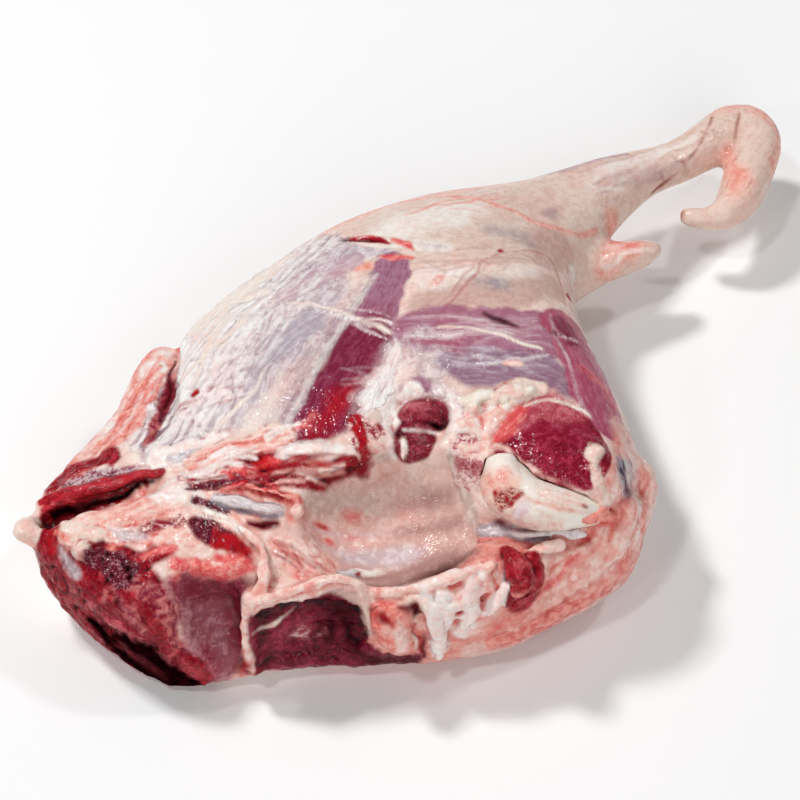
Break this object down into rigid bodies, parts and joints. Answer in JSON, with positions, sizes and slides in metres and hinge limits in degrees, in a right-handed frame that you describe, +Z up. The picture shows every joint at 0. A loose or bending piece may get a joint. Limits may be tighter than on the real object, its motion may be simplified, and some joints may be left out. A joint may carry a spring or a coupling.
{
  "type": "raw leg of lamb",
  "caption": "Whole raw bone-in leg of lamb with the chump and hock left on, lying on its outer side, with the pelvic cavity, cut muscles, fat and sawn aitch bone uppermost.",
  "frame": {"origin": "on the table, under the centre of the whole leg's bounding box", "axes": "+X from the chump end towards the hock, +Y towards the flank side, +Z up, out of the inner side of the leg"},
  "size_m": [0.48, 0.2508, 0.0976],
  "materials": {
    "meat": "wet raw muscle, silverskin and fat",
    "bone": "wet sawn bone, slightly porous"
  },
  "bodies": {
    "root": {"leg": "meat", "aitch_bone": "bone"}
  },
  "joints": []
}
